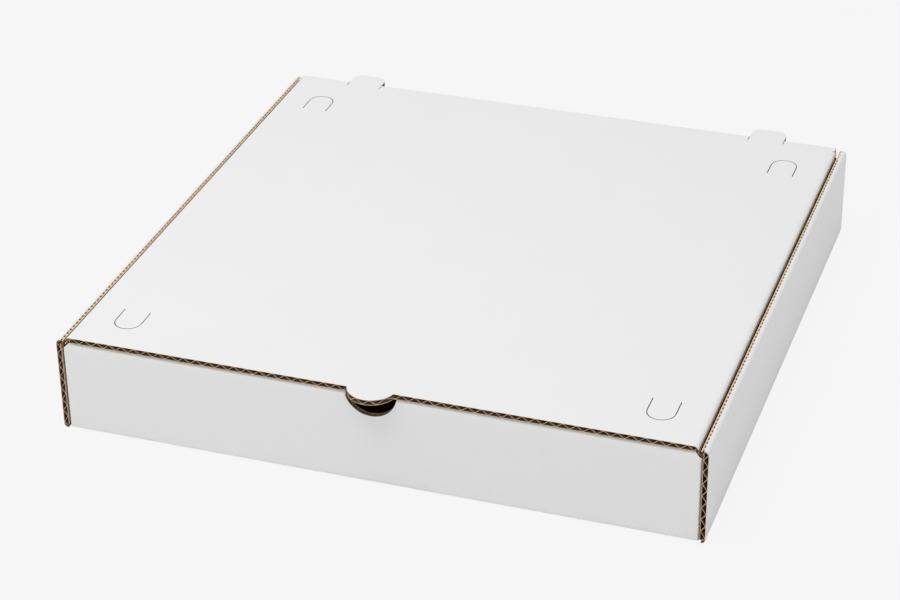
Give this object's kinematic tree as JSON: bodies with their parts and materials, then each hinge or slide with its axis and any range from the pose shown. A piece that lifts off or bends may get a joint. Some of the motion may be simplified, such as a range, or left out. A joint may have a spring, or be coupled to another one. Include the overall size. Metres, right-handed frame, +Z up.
{
  "type": "pizza box",
  "caption": "Closed corrugated board pizza box: a folded tray with rolled side walls, and a hinged lid with tucked side flaps, tongue, rear ears and knife-cut vents.",
  "frame": {"origin": "middle of the underside of the closed box, with the tongue and the ears counted in its depth", "axes": "+Z up; +X to the right as seen from the front; +Y from the front, where the tongue and thumb notch are, to the hinged rear wall"},
  "size_m": [0.33, 0.336, 0.0531],
  "materials": {
    "white_board": "matte",
    "kraft_board": "matte"
  },
  "bodies": {
    "tray": {"tray": "white_board"},
    "lid": {"lid": "white_board"}
  },
  "joints": [
    {"name": "lid_hinge", "type": "hinge", "parent": "tray", "child": "lid", "pos_m": [0, 0.1562, 0.0503], "axis": [-1, 0, 0], "range_deg": [0, 178]}
  ]
}
